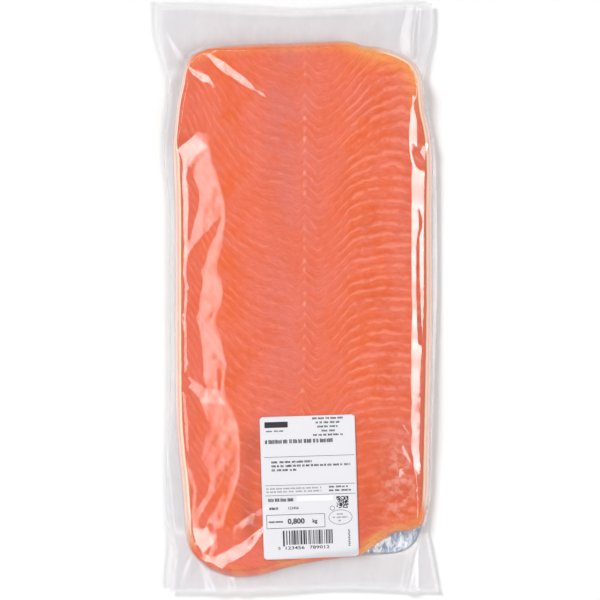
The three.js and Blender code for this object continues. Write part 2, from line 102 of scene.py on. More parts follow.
# Faces of the film that lie flat, each with its slope in x and y and its outline. At these slopes a face
# turns the light of a softbox straight up.
LEFT_SLOPE = (0.176, 0)
RIGHT_SLOPE = (-0.287, 0)
FACES = {
    "upper_fan": (LEFT_SLOPE, [
        (-83.5, 103.2), (-73.6, 110.3), (-70.6, 112.2), (-65, 107.2), (-62, 103.6), (-66.2, 101.1),
        (-71.2, 96.7), (-76.1, 90), (-76.7, 82.1), (-75.5, 68.3), (-75.6, 37.3), (-76.3, -0.7),
        (-76.3, -50.4), (-79.3, -55.9), (-79.4, -0.7), (-79, 25.5), (-79.9, 58), (-80.2, 92.5),
        (-81.2, 96.7),
    ]),
    "low_line": (LEFT_SLOPE, [
        (-79.2, -66), (-76.6, -66), (-76.2, -84), (-75, -106), (-76.8, -106), (-79, -84),
    ]),
    "upper_band": (LEFT_SLOPE, [
        (-66.2, 101.1), (-62, 103.6), (-60.1, 98.7), (-57.6, 83.5), (-52.1, 72.9), (-50.6, 64.9),
        (-50, 57.5), (-52.7, 56.2), (-57, 51.3), (-62, 46.4), (-71.2, 36.6), (-75.8, 28.3),
        (-75.5, 38.6), (-71.8, 53.1), (-69.3, 60.5), (-68.1, 68), (-68.7, 74.1), (-71.5, 82.1),
        (-70.6, 91.2), (-66.9, 98.7),
    ]),
    "middle_band": (LEFT_SLOPE, [
        (-52.7, 56.2), (-50, 57.5), (-50.9, 50.1), (-52.1, 36.6), (-56.4, 27.9), (-58.2, 23),
        (-57, 17.4), (-50.9, 6.9), (-52.1, -2.1), (-58.6, -9), (-60.5, -14.5), (-57, -20.7),
        (-53.3, -29.3), (-48.4, -45.3), (-57, -39.1), (-60.1, -39.1), (-57, -47.7), (-54.6, -56.4),
        (-54, -63.8), (-62.6, -62.2), (-65, -52.7), (-66.9, -33), (-69, -14.5), (-68.1, -1), (-65, 15.6),
        (-62.6, 20), (-61.4, 32.8), (-58.9, 39), (-55.2, 45.1),
    ]),
    "middle_fan": (LEFT_SLOPE, [
        (-76.7, -53.8), (-69.3, -58.9), (-62.6, -62.2), (-54, -63.8), (-52.1, -70), (-49.7, -73.6),
        (-67.5, -72.4), (-70.6, -68.1), (-73.6, -65), (-78, -62), (-74.2, -60.4), (-73.6, -58.5),
        (-77.3, -56.6),
    ]),
    "lower_band": (LEFT_SLOPE, [
        (-67.5, -72.4), (-49.7, -73.6), (-44.7, -79.8), (-41, -86), (-40.1, -93.4), (-39.7, -104.2),
        (-41.7, -111.4), (-46, -121.2), (-51.5, -129), (-58.6, -136.7), (-61.4, -141.7), (-67.1, -149.4),
        (-73.4, -155), (-70.6, -149.4), (-63.5, -135.2), (-60.7, -125.4), (-62.1, -120.5),
        (-67.8, -112.7), (-68.8, -107.8), (-65, -95.8), (-63.2, -88), (-65, -78.6),
    ]),
    "leaf": (LEFT_SLOPE, [
        (-44.5, -119.1), (-40.3, -119.1), (-40, -124.1), (-42.8, -133.9), (-46.6, -142.3),
        (-49.5, -145.9), (-52.3, -155.7), (-54.4, -159.3), (-58.6, -163.8), (-54.7, -157.1),
        (-55.1, -152.9), (-56.9, -149.4), (-57.3, -145.2), (-53, -135.3), (-50.2, -129), (-46.6, -123.4),
    ]),
    "lower_fan": (LEFT_SLOPE, [
        (-74.5, -158.6), (-68.4, -159.6), (-62.5, -157.1), (-59.3, -164.2), (-55.9, -162.1),
        (-55.9, -165.6), (-61.4, -173.9), (-66.2, -176.6), (-70.6, -170.4), (-74.8, -162.1),
    ]),
    "lens": (LEFT_SLOPE, [
        (-77.6, -119.1), (-74.1, -124.8), (-72, -133.9), (-72.3, -139.5), (-74.1, -152.2),
        (-74.8, -156.4), (-76.6, -133.9), (-77.3, -125.4),
    ]),
    "long_face": (RIGHT_SLOPE, [
        (79, 138.7), (80.7, 137.3), (79.7, 130.4), (82.1, 123.5), (82.5, 109), (82.8, 101.7), (80, 106),
        (77.8, 105.4), (78.1, 101.1), (79.9, 93.7), (81.8, 88.1), (89.2, 86.9), (87.6, 82.1),
        (87.2, 33.8), (86.7, -14.5), (84.9, -55.9), (85.5, -70.4), (84.5, -110.1), (85.5, -117.9),
        (81.6, -121.7), (79.7, -115.9), (78.2, -104.2), (78.7, -94.5), (77.8, -81.1), (78.7, -75.2),
        (77.8, -55.9), (78.5, -7.6), (77.8, 33.8), (78, 82.1), (78.9, 89.4), (77.3, 95.6), (76.2, 102.9),
        (76.3, 118), (77.1, 124.9), (78.7, 130.4),
    ]),
    "streak_1": (RIGHT_SLOPE, [
        (69, -84.9), (70.7, -84.2), (77.3, -93.1), (76.9, -95.2), (73.8, -91.8),
    ]),
    "streak_2": (RIGHT_SLOPE, [
        (70, -101.4), (72.4, -100.7), (78, -111.1), (78.3, -115.2), (73.8, -110.4), (71.8, -107.6),
    ]),
    "streak_3": (RIGHT_SLOPE, [
        (68.3, -119.4), (71.8, -116.6), (73.1, -120.7), (70.4, -125.6), (68.3, -124.9),
    ]),
    "streak_4": (RIGHT_SLOPE, [
        (79.3, -140.1), (80.7, -140.8), (83.1, -151.1), (81.8, -150.4),
    ]),
    "knot": (RIGHT_SLOPE, [
        (83.4, 100.5), (85, 104), (87.5, 106), (90.5, 108.5), (92.5, 107), (92, 102), (90, 98), (89.6, 90),
        (87.8, 90), (87.2, 96),
    ]),
    "top_ridge": ((0.163, 0.228), [
        (-62.4, 169), (-57, 165.2), (-52.1, 163.4), (-46, 159), (-41.6, 155.4), (-36.7, 152.3),
        (-32.4, 148.5), (-29.3, 144.2), (-24.3, 141.7), (-18.2, 136.8), (-17.6, 135), (-21.3, 136.2),
        (-27.5, 139.9), (-33.6, 143.6), (-40.4, 147.3), (-46, 151.6), (-52.1, 154.7), (-57.6, 159.6),
        (-61.9, 164.6),
    ]),
    "corner_ridge": ((0.160, 0.270), [
        (-75.5, 160.2), (-74, 158.4), (-70.6, 155.9), (-67.5, 154.7), (-62.6, 154.7), (-60.1, 151.6),
        (-58.2, 147.3), (-58.9, 145.7), (-62, 147.3), (-65.6, 148.5), (-69.3, 151), (-73.1, 153.7),
        (-74.9, 157.1),
    ]),
    "long_fold": ((0.134, -0.268), [
        (-66, -177.5), (-58.7, -179), (-53, -176.2), (-44.5, -171.9), (-36.8, -167.7), (-29.7, -162.1),
        (-24.8, -157.1), (-21, -152), (-19, -158), (-24.8, -162.8), (-27.6, -168.4), (-31.9, -174),
        (-38.9, -179), (-46, -183.2), (-51.5, -186.7), (-58.7, -188.1), (-64, -184.5), (-67.8, -181.1),
    ]),
    "wedge": ((0.114, -0.275), [
        (-44.5, -157.9), (-38.9, -152.9), (-33.3, -148.7), (-25.5, -144.5), (-20, -142), (-20, -154.5),
        (-24.8, -155.1), (-29.7, -157.1), (-36.8, -157.9), (-43.1, -158.6),
    ]),
}
RIGHT_SLIT = [(82.5, 61.8), (83.5, 60), (85.2, 54.5), (85, 47.6), (83.1, 40.7), (83.7, 28.3), (83.4, 20),
              (83.8, 6.2), (84.5, -14.5), (84.5, -31.7), (83.1, -31.7), (82.2, -14.5), (81.6, 20),
              (82.1, 40.2), (83.5, 47.6), (83.8, 54.5), (82.8, 59.3)]

# How far the film stands off the fish at some faces. Air under it makes both its sides shine.
LIFTED_FACES = {"upper_fan": 0.85, "upper_band": 0.25, "middle_band": 0.2, "middle_fan": 0.8,
                "lower_fan": 0.95, "top_ridge": 0.75, "corner_ridge": 0.9, "long_fold": 0.85,
                "wedge": 0.5, "long_face": 0.62, "knot": 0.4}

# Places at the fish's edge where the film is gathered, so that it stays flat almost up to the edge
PINCHES = [(-86, 104, 7), (-84.5, -61.4, 6), (92, 105, 5), (-79, 158, 7), (-64, 170.5, 5), (-65, -182, 9)]

# Folds of the film: a ridge's crest, the widths of its flat flank at equal steps along the crest, that
# flank's slope, and the reach of the round flank. The flat flank is on the left of the way along the crest.
FOLDS = [
    ([(-76.5, 160.5), (-84, 173), (-91, 185)], [0.8, 2.6, 3.4, 2], 0.20, 6),
    ([(38, 176), (60, 193)], [0, 1.0, 1.0, 0], 0.29, 2),
    ([(79, 166), (79.5, 184), (81.5, 201)], [8, 10, 8, 6], 0.23, 4),
    ([(84, -160), (79, -182), (75.5, -202)], [1.5, 4, 7, 9], 0.29, 5),
    ([(-66, -178), (-61, -190), (-57, -202)], [5, 6, 8], 0.17, 5),
    ([(-46, -188), (-42, -202)], [4, 9, 9], 0.15, 5),
    ([(-80, -202), (-72, -178)], [3, 4, 2], 0.16, 5),
]

# The step of the grid that heights are worked out on
GRID_STEP = 0.6

# Beside its flat middle the film falls a little, and beyond the shoulders steeply, from one slope to another
# over the steep width. Beyond the lines across the pack where that starts and ends, the flanks are flatter.
FLAT_SLOPE = 0.05
FLAT_MIDDLE = 22
STEEP_SLOPES = {"left": (0.28, 0.36), "right": (0.44, 0.44)}
STEEP_WIDTH = 12
STEEP_FROM = {"left": (-176, -165), "right": (-162, -150)}
STEEP_TO = {"left": (92, 112), "right": (134, 146)}
END_FLATNESS = 0.85

# How far in from its edge the fish reaches its full height, and how much less at a pinch
RIM_WIDTHS = {"left": 5.2, "right": 5.4, "more_at_tail": 3, "more_at_bare_card": 1.5}
PINCH_DEPTH = 0.72
MARGIN_DROOP = {"left": 0.30, "right": 0.29, "reach": 8}

# How strictly the film keeps to the slopes wanted for its faces, its flat middle and what lies between
STRICTNESS = {"face": 1.0, "middle": 0.15, "between": 0.04}

# Columns and rows of the two film sheets, steps of a curve between two stations, and the rings of a sheet,
# which crowd towards the fish
TOP_GRID = (198, 408)
BOTTOM_GRID = (90, 180)
SPLINE_STEPS = 24
FILM_RINGS = 14
RING_CROWDING = 1.7


def smooth(low, high, value):
    t = np.clip((value - low) / (high - low), 0, 1)
    return t * t * (3 - 2 * t)


def mix(a, b, t):
    return a + (b - a) * t


def bell(value, centre, width):
    return np.exp(-(((value - centre) / width) ** 2))


# Points along a centripetal Catmull-Rom curve
def spline(points, steps, closed):
    p = np.array(points, float)
    if closed:
        p = np.vstack([p[-1], p, p[0], p[1]])
    else:
        p = np.vstack([2 * p[0] - p[1], p, 2 * p[-1] - p[-2]])
    made = []
    t = np.linspace(0, 1, steps, endpoint=False)[:, None]
    for a, b, c, d in zip(p, p[1:], p[2:], p[3:]):
        k1, k2, k3 = (math.sqrt(np.linalg.norm(q)) for q in (b - a, c - b, d - c))
        m1 = ((b - a) / k1 - (c - a) / (k1 + k2) + (c - b) / k2) * k2
        m2 = ((c - b) / k2 - (d - b) / (k2 + k3) + (d - c) / k3) * k2
        made.append(b + m1 * t + (3 * (c - b) - 2 * m1 - m2) * t**2 + (2 * (b - c) + m1 + m2) * t**3)
    if not closed:
        made.append(p[-2:-1])
    return np.vstack(made)


CONTENTS = [station[:2] for side in SIDES.values() for station in side]
CONTENTS_CORNERS = [side[0][:2] for side in SIDES.values()]


def fish_points():
    first = CONTENTS.index(THIN_END[0])
    last = CONTENTS.index(THIN_END[-1])
    return CONTENTS[:first] + THIN_END + CONTENTS[last + 1:]


FISH_POINTS = fish_points()
contents_outline = spline(CONTENTS, 6, True)
fish_outline = spline(FISH_POINTS, 6, True)


# Distance from points to a closed outline, positive inside it
def inside_distance(outline, x, y):
    outline = np.array(outline, float)
    x = np.asarray(x, float)
    nearest = np.full(x.shape, np.inf)
    inside = np.zeros(x.shape, bool)
    for a, b in zip(np.roll(outline, 1, axis=0), outline):
        dx, dy = b - a
        t = np.clip(((x - a[0]) * dx + (y - a[1]) * dy) / (dx * dx + dy * dy + 1e-12), 0, 1)
        nearest = np.minimum(nearest, (x - a[0] - t * dx) ** 2 + (y - a[1] - t * dy) ** 2)
        if a[1] != b[1]:
            spans = (a[1] > y) != (b[1] > y)
            inside ^= spans & (x < a[0] + (y - a[1]) / dy * dx)
    return np.where(inside, 1, -1) * np.sqrt(nearest)


# Uneven ripples of about this wave length, between -1 and 1 for most of their points
def ripples(x, y, length, seed, count=18, stretch=1.0):
    rng = np.random.default_rng(seed)
    total = np.zeros(np.shape(x))
    for _ in range(count):
        angle = rng.uniform(0, math.tau)
        k = math.tau / (length * rng.uniform(0.7, 1.6))
        phase = rng.uniform(0, math.tau)
        total += np.sin(k * (np.cos(angle) * x + np.sin(angle) * y / stretch) + phase)
    return total / math.sqrt(count)


def blur(field, sigma):
    reach = int(math.ceil(3 * sigma / GRID_STEP))
    offsets = np.arange(-reach, reach + 1) * GRID_STEP
    kernel = np.exp(-(offsets**2) / (2 * sigma**2))
    kernel /= kernel.sum()
    padded = np.pad(field, reach, mode="edge")
    rows = np.apply_along_axis(lambda line: np.convolve(line, kernel, "valid"), 1, padded)
    return np.apply_along_axis(lambda line: np.convolve(line, kernel, "valid"), 0, rows)


# A height for each point of a fine grid over the whole bag, read between its points
class Field:
    x = np.arange(-104, 104.1, GRID_STEP)
    y = np.arange(-210, 210.1, GRID_STEP)

    def __init__(self, values):
        self.values = values

    def at(self, x, y):
        u = np.clip((np.asarray(x, float) - self.x[0]) / GRID_STEP, 0, len(self.x) - 1.001)
        v = np.clip((np.asarray(y, float) - self.y[0]) / GRID_STEP, 0, len(self.y) - 1.001)
        c, r = u.astype(int), v.astype(int)
        u, v = u - c, v - r
        z = self.values
        low = mix(z[r, c], z[r, c + 1], u)
        high = mix(z[r + 1, c], z[r + 1, c + 1], u)
        return mix(low, high, v)


GX, GY = np.meshgrid(Field.x, Field.y)


def bareness(x, y):
    squared = (x - BARE_CARD["x"]) ** 2 + (y - BARE_CARD["y"]) ** 2
    return np.exp(-squared / (2 * BARE_CARD["reach"] ** 2))


def seam_height(x, y):
    return mix(SEAM_HEIGHT, BARE_CARD["height"], bareness(x, y))


def margin_wave(x, y, outside):
    wave = np.sin(x / 15 + 0.6) * np.cos(y / 60) + 0.7 * np.sin(y / 21 + x / 40)
    fine = 0.10 * ripples(x, y, 26, 5)
    return MARGIN_WAVE["height"] * smooth(0, MARGIN_WAVE["reach"], outside) * (wave + fine)


# How far along a line each of its points lies
def lengths_along(line):
    return np.concatenate([[0], np.cumsum(np.linalg.norm(np.diff(line, axis=0), axis=1))])


# Distance from points to a line, positive on the left of its way, and the share of the way at the place
# nearest to each
def beside_line(line, x, y):
    lengths = lengths_along(line)
    nearest = np.full(x.shape, np.inf)
    side = np.zeros(x.shape)
    share = np.zeros(x.shape)
    for a, b, start, end in zip(line, line[1:], lengths, lengths[1:]):
        dx, dy = b - a
        t = np.clip(((x - a[0]) * dx + (y - a[1]) * dy) / (dx * dx + dy * dy), 0, 1)
        distance = np.hypot(x - a[0] - t * dx, y - a[1] - t * dy)
        closer = distance < nearest
        nearest = np.where(closer, distance, nearest)
        side = np.where(closer, np.sign((y - a[1]) * dx - (x - a[0]) * dy), side)
        share = np.where(closer, (start + t * (end - start)) / lengths[-1], share)
    return side * nearest, share


def fold_height(x, y):
    total = np.zeros(np.shape(x))
    for crest, widths, slope, reach in FOLDS:
        left, share = beside_line(spline(crest, 5, False), x, y)
        width = np.interp(share, np.linspace(0, 1, len(widths)), widths)
        flank = np.clip(1 - left / np.maximum(width, 0.01), 0, 1)
        back = 1 - smooth(0, 1, -left / reach)
        total += width * slope * np.where(left > 0, flank, back)
    return total


# The heights of a grid whose slopes come nearest to the wanted ones, by conjugate gradients
def fitted_heights(slope_x, slope_y, strictness, rounds=40):
    rise_x = GRID_STEP * (slope_x[:, 1:] + slope_x[:, :-1]) / 2
    rise_y = GRID_STEP * (slope_y[1:] + slope_y[:-1]) / 2
    weight = (np.minimum(strictness[:, 1:], strictness[:, :-1]), np.minimum(strictness[1:], strictness[:-1]))
    rows, columns = slope_x.shape

    def pull(rises):
        total = np.zeros((rows, columns))
        across, down = weight[0] * rises[0], weight[1] * rises[1]
        total[:, 1:] += across
        total[:, :-1] -= across
        total[1:] += down
        total[:-1] -= down
        return total

    bend = 4 * np.sin(math.pi * np.arange(2 * rows) / (2 * rows))[:, None] ** 2
    bend = bend + 4 * np.sin(math.pi * np.arange(columns + 1) / (2 * columns)) ** 2
    bend[0, 0] = 1

    def even_solution(values):
        mirrored = np.block([[values, values[:, ::-1]], [values[::-1], values[::-1, ::-1]]])
        turned = np.fft.rfft2(mirrored) / bend
        turned[0, 0] = 0
        return np.fft.irfft2(turned, mirrored.shape)[:rows, :columns]

    height = np.zeros((rows, columns))
    left_over = pull((rise_x, rise_y))
    way = ready = even_solution(left_over)
    size = (left_over * ready).sum()
    for _ in range(rounds):
        pulled = pull((np.diff(way, axis=1), np.diff(way, axis=0)))
        step = size / (way * pulled).sum()
        height += step * way
        left_over -= step * pulled
        ready = even_solution(left_over)
        new_size = (left_over * ready).sum()
        way = ready + new_size / size * way
        size = new_size
    return height


# The film's relief over the fish: a flat middle, flanks that fall away, and faces at slopes of their own
def film_relief():
    flanks = np.zeros(GX.shape)
    strictness = np.full(GX.shape, STRICTNESS["middle"])
    for side, way, line in (("left", -1, LEFT_SHOULDER), ("right", 1, RIGHT_SHOULDER)):
        shoulder = way * np.interp(GY, *np.array(sorted(line)).T)
        out = way * GX
        steep = mix(*STEEP_SLOPES[side], np.clip((out - shoulder) / STEEP_WIDTH, 0, 1))
        fall = np.where(out > shoulder, steep, FLAT_SLOPE * smooth(FLAT_MIDDLE, shoulder, out)) * (out > 0)
        drop = GRID_STEP * np.cumsum(fall[:, ::way], axis=1)[:, ::way]
        at_ends = 1 - smooth(*STEEP_FROM[side], GY) + smooth(*STEEP_TO[side], GY)
        flanks -= drop * (1 - END_FLATNESS * at_ends)
        strictness = np.where(out > shoulder, STRICTNESS["between"], strictness)
    slope_y, slope_x = np.gradient(flanks, GRID_STEP)
    for slope, outline in FACES.values():
        inside = inside_distance(outline, GX, GY) > 0
        slope_x = np.where(inside, slope[0], slope_x)
        slope_y = np.where(inside, slope[1], slope_y)
        strictness = np.where(inside, STRICTNESS["face"], strictness)
    slit = inside_distance(RIGHT_SLIT, GX, GY) > 0
    slope_x = np.where(slit, -STEEP_SLOPES["right"][0], slope_x)
    relief = fitted_heights(slope_x, slope_y, strictness)
    middle = (np.abs(GX) < 30) & (np.abs(GY) < 120)
    return relief - relief[middle].mean()


def softly_above(value, floor, softness=1.2):
    return floor + softness * np.logaddexp(0, (value - floor) / softness)


# The film's top, the contents' top, and the distances inside the fish and the contents
def surfaces():
    in_fish = inside_distance(fish_outline, GX, GY)
    in_contents = inside_distance(contents_outline, GX, GY)
    head = HEAD_END["drop"] * smooth(HEAD_END["from"], HEAD_END["to"], GY)
    thin = THIN_END_DROP["drop"] * (1 - smooth(THIN_END_DROP["to"], THIN_END_DROP["from"], GY))
    uneven = 0.02 * (np.sin(GX / 17 + GY / 41) + np.sin(GY / 26 - GX / 33))
    crown = FISH_THICKNESS * (1 - head - thin + uneven)
    seam = seam_height(GX, GY)
    full = 2 * FILM_THICKNESS + CARD_THICKNESS + crown + film_relief()
    full = softly_above(full, seam + 1.5)
    rim = mix(RIM_WIDTHS["left"], RIM_WIDTHS["right"], smooth(40, 70, GX))
    rim += RIM_WIDTHS["more_at_tail"] * smooth(-150, -185, GY)
    rim += RIM_WIDTHS["more_at_bare_card"] * bareness(GX, GY)
    for x, y, reach in PINCHES:
        rim *= 1 - PINCH_DEPTH * bell(GX, x, 3 * reach) * bell(GY, y, reach)
    t = np.clip(in_fish / rim, 0, 1)
    outside = np.maximum(0, -in_contents)
    along_side = smooth(-172, -150, GY) * (1 - smooth(140, 165, GY))
    droop = np.where(GX < 0, MARGIN_DROOP["left"], MARGIN_DROOP["right"]) * along_side
    wave = margin_wave(GX, GY, outside) * (1 - 0.8 * along_side)
    base = seam + wave - droop * np.minimum(outside, MARGIN_DROOP["reach"])
    contents = base + (full - base) * (1 - (1 - t) ** mix(2.0, 3.0, smooth(-185, -160, GY)))
    ripple = 0.02 * ripples(GX, GY, 9, 11) * bell(in_fish, 1, 7) + 0.03 * ripples(GX, GY, 22, 3)
    over_fish = 0.028 * ripples(GX, GY, 8, 41, stretch=1.6) + 0.008 * ripples(GX, GY, 3.6, 43)
    ripple += over_fish * smooth(0, 4, in_fish)
    calm = mix(1.0, 0.3, smooth(50, 70, GX)) * mix(0.35, 1.0, smooth(-72, -68, GX) + smooth(-84, -90, GX))
    film = contents + fold_height(GX, GY) * smooth(-0.5, 3, outside) + calm * ripple
    shoulder = np.interp(GY, *np.array(sorted(LEFT_SHOULDER)).T)
    film = mix(blur(film, 0.35), blur(film, 1.5), bell(GX, shoulder + 1, 3.5))
    return Field(film), Field(blur(contents, 0.7)), Field(in_fish), Field(in_contents)


film_top, contents_top, fish_inside, contents_inside = surfaces()


# Film that has come off the fish has air under it, so that both its faces shine. Folds in the margins do too.
def lifted_film():
    lifted = np.zeros(GX.shape)
    for name, lift in LIFTED_FACES.items():
        inside = smooth(-0.6, 0.6, inside_distance(FACES[name][1], GX, GY))
        lifted = np.maximum(lifted, lift * inside)
    in_margin = fold_height(GX, GY) * (contents_inside.values < 0)
    return Field(np.maximum(lifted, 0.35 * smooth(0.15, 0.6, in_margin)))


film_lifted = lifted_film()


def show(name, data):
    shown = bpy.data.objects.new(name, data)
    bpy.context.scene.collection.objects.link(shown)
    return shown


def new_object(name, points, faces, material, smooth_shading=True):
    mesh = bpy.data.meshes.new(name)
    mesh.from_pydata((np.asarray(points) * MM).tolist(), [], [tuple(face) for face in faces])
    mesh.validate()
    mesh.update()
    mesh.materials.append(material)
    mesh.polygons.foreach_set("use_smooth", [smooth_shading] * len(mesh.polygons))
    return show(name, mesh)


def add_attributes(piece, **attributes):
    for name, values in attributes.items():
        attribute = piece.data.attributes.new(name, "FLOAT", "POINT")
        values = np.broadcast_to(np.asarray(values, np.float32), len(piece.data.vertices))
        attribute.data.foreach_set("value", np.ascontiguousarray(values))


# Points at these shares of the line's length, of the line itself or of another with as many points
def steps_along(line, shares, other=None):
    lengths = lengths_along(line)
    wanted = np.asarray(shares) * lengths[-1]
    read = line if other is None else other
    return np.stack([np.interp(wanted, lengths, column) for column in read.T], 1)


# The four stretches of a closed outline between its corner points, each with its last point
def stretches(points, corners):
    line = spline(points, SPLINE_STEPS, True)
    line = np.vstack([line, line[:1]])
    places = [points.index(corner) * SPLINE_STEPS for corner in corners] + [len(points) * SPLINE_STEPS]
    return [line[a:b + 1] for a, b in zip(places, places[1:])]


# Shares from 0 to 1 that lie closer together towards both ends, within the given reach of each
def graded_shares(count, left_reach, right_reach, extra):
    fine = np.linspace(0, 1, 801)
    density = 1 + extra * (1 - smooth(left_reach, 1.4 * left_reach, fine))
    density += extra * smooth(1 - 1.4 * right_reach, 1 - right_reach, fine)
    total = np.concatenate([[0], np.cumsum((density[1:] + density[:-1]) / 2)])
    return np.interp(np.linspace(0, total[-1], count), total, fine)


# A grid over the inside of four stretches, clockwise from the top left. Rows run down, columns right.
def coons_grid(top, right, bottom, left, across, rows):
    down = np.linspace(0, 1, rows)
    top = steps_along(top, across)
    bottom = steps_along(bottom, 1 - across[::-1])[::-1]
    left = steps_along(left, down)[::-1]
    right = steps_along(right, down)
    u = across[None, :, None]
    v = down[:, None, None]
    between_ends = mix(top[None], bottom[None], v)
    between_sides = mix(left[:, None], right[:, None], u)
    corners = mix(mix(top[0], top[-1], u), mix(bottom[0], bottom[-1], u), v)
    return between_ends + between_sides - corners


def grid_faces(rows, columns, start=0, flip=False):
    i = np.arange(rows * columns).reshape(rows, columns) + start
    quads = np.stack([i[:-1, :-1], i[1:, :-1], i[1:, 1:], i[:-1, 1:]], -1).reshape(-1, 4)
    return quads[:, ::-1] if flip else quads


# The grid's outer places, clockwise from the top left
def border(rows, columns):
    i = np.arange(rows * columns).reshape(rows, columns)
    return np.concatenate([i[0, :-1], i[:-1, -1], i[-1, :0:-1], i[:0:-1, 0]])


# Faces between two closed rows of points
def band_faces(inner, outer):
    return np.stack([inner, np.roll(inner, -1), np.roll(outer, -1), outer], 1)


# A thin sheet between two like grids, with a wall round it
def slab(name, upper, lower, rows, columns, material):
    edge = border(rows, columns)
    count = rows * columns
    wall = band_faces(edge, edge + count)
    faces = np.vstack([grid_faces(rows, columns), grid_faces(rows, columns, count, True), wall])
    return new_object(name, np.vstack([upper, lower]), faces, material)


# The way straight in from an outline, at points beside it
def way_in(inside, flat):
    slope_y, slope_x = np.gradient(inside.values, GRID_STEP)
    return np.stack([Field(slope_x).at(*flat.T), Field(slope_y).at(*flat.T)], 1)


# One sheet of the bag: a grid over the contents and rings from there to the cut edge
def film_sheet(name, height, columns, rows, material, underside):
    sides = stretches(CONTENTS, CONTENTS_CORNERS)
    across = np.linspace(0, 1, columns) if underside else graded_shares(columns, 0.24, 0.09, 1.4)
    down = np.linspace(0, 1, rows)
    grid = coons_grid(*sides, across, rows).reshape(-1, 2)
    inner = border(rows, columns)
    seam_line = grid[inner]
    cut_line = []
    following = [*SIDES.values()][1:] + [SIDES["top"]]
    side_shares = (across, down, 1 - across[::-1], down)
    for side, next_side, contents_side, shares in zip(SIDES.values(), following, sides, side_shares):
        bag_side = spline([station[2:] for station in [*side, next_side[0]]], SPLINE_STEPS, False)
        cut_line.append(steps_along(contents_side, shares, bag_side)[:-1])
    cut_line = np.vstack(cut_line)
    ring_shares = (np.arange(1, FILM_RINGS + 1) / FILM_RINGS) ** RING_CROWDING
    flat = np.vstack([grid] + [mix(seam_line, cut_line, share) for share in ring_shares])
    faces = [grid_faces(rows, columns)]
    for ring in range(FILM_RINGS):
        outer = np.arange(len(cut_line)) + len(grid) + ring * len(cut_line)
        faces.append(band_faces(inner, outer))
        inner = outer
    faces = np.vstack(faces)
    x, y = flat.T
    points = np.column_stack([flat, height(x, y)])
    piece = new_object(name, points, faces[:, ::-1] if underside else faces, material)
    to_cut = np.full(len(flat), 20.0)
    widths = np.tile(np.linalg.norm(cut_line - seam_line, axis=1), FILM_RINGS)
    to_cut[len(grid):] = (1 - np.repeat(ring_shares, len(cut_line))) * widths
    # How near the fish a point lies, for the pink band on the film beside it: a painted reflection of the
    # fish's colour
    beside_fish = fish_inside.at(x, y) / mix(2.0, 3.0, smooth(40, 80, x))
    add_attributes(
        piece,
        to_cut=to_cut,
        on_fish=smooth(-0.8, 0.8, contents_inside.at(x, y)),
        lifted=film_lifted.at(x, y),
        seal=smooth(4.5, 0.5, to_cut) * smooth(150, 178, np.abs(y)),
        blush=0 if underside else smooth(-1, -0.1, beside_fish),
    )
    return piece


def bottom_film_height(x, y):
    inside = contents_inside.at(x, y)
    upper = film_top.at(x, y)
    margin = upper - SEAL_THICKNESS * (0.35 + 0.65 * smooth(-1, -6, inside))
    turned = (seam_height(x, y) - SEAL_THICKNESS) * (1 - np.clip(inside / 1.6, 0, 1)) ** 1.6
    return np.where(inside <= 0, margin, np.minimum(margin, turned)) + 0.05


# A material's nodes, with short calls for those that are used often
class Nodes:
    def __init__(self, name):
        self.material = bpy.data.materials.new(name)
        self.material.use_nodes = True
        self.tree = self.material.node_tree
        self.tree.nodes.clear()
        self.output = self.add("ShaderNodeOutputMaterial")

    def add(self, kind, links=None, **values):
        node = self.tree.nodes.new(kind)
        for key, value in values.items():
            setattr(node, key, value)
        for socket, value in (links or {}).items():
            target = node.inputs[socket]
            if isinstance(value, bpy.types.NodeSocket):
                self.tree.links.new(value, target)
            else:
                target.default_value = value
        return node

    def math(self, operation, *values):
        return self.add("ShaderNodeMath", dict(enumerate(values)), operation=operation).outputs[0]

    def times(self, a, b):
        return self.math("MULTIPLY", a, b)

    def plus(self, a, b):
        return self.math("ADD", a, b)

    def minus(self, a, b):
        return self.math("SUBTRACT", a, b)

    # The sockets are the factor and the two colours.
    def mix_colour(self, factor, a, b):
        return self.add("ShaderNodeMix", {0: factor, 6: a, 7: b}, data_type="RGBA").outputs[2]

    def attribute(self, name):
        return self.add("ShaderNodeAttribute", attribute_name=name).outputs["Fac"]

    def noise(self, scale, detail=2.0, rough=0.5, vector=None, distortion=0.0):
        links = {"Scale": scale, "Detail": detail, "Roughness": rough, "Distortion": distortion}
        if vector is None:
            vector = self.add("ShaderNodeTexCoord").outputs["Object"]
        links["Vector"] = vector
        return self.add("ShaderNodeTexNoise", links).outputs["Fac"]

    def stretch(self, x, y):
        place = self.add("ShaderNodeTexCoord").outputs["Object"]
        return self.add("ShaderNodeMapping", {"Vector": place, "Scale": (x, y, 1)}).outputs["Vector"]

    def ramp(self, value, low, high, to_low=0.0, to_high=1.0):
        links = {"Value": value, "From Min": low, "From Max": high, "To Min": to_low, "To Max": to_high}
        return self.add("ShaderNodeMapRange", links, interpolation_type="SMOOTHSTEP").outputs[0]

    def bump(self, height, strength, distance):
        links = {"Height": height, "Strength": strength, "Distance": distance}
        return self.add("ShaderNodeBump", links).outputs["Normal"]

    def finish(self, shader):
        self.tree.links.new(shader, self.output.inputs["Surface"])
        return self.material

    # A surface with one shader, which takes the colour, the roughness and what else is given
    def finish_plain(self, tone, roughness, **others):
        links = {"Base Color": tone, "Roughness": roughness, **others}
        return self.finish(self.add("ShaderNodeBsdfPrincipled", links).outputs[0])


# A colour as it shows on a screen, from 0 to 255, as the linear light that nodes take
def colour(red, green, blue):
    def linear(value):
        v = value / 255
        return v / 12.92 if v <= 0.04045 else ((v + 0.055) / 1.055) ** 2.4

    return (linear(red), linear(green), linear(blue), 1.0)


# Tints of the film. Just outside the fish the clear film is tinted pink, a painted reflection of the fish's
# colour.
FILM_TINT = {"on_fish": (1.0, 1.0, 1.0, 1), "margin": (0.978, 0.970, 0.978, 1), "cut": (0.82, 0.83, 0.84, 1),
             "blush": (0.99, 0.945, 0.945, 1)}
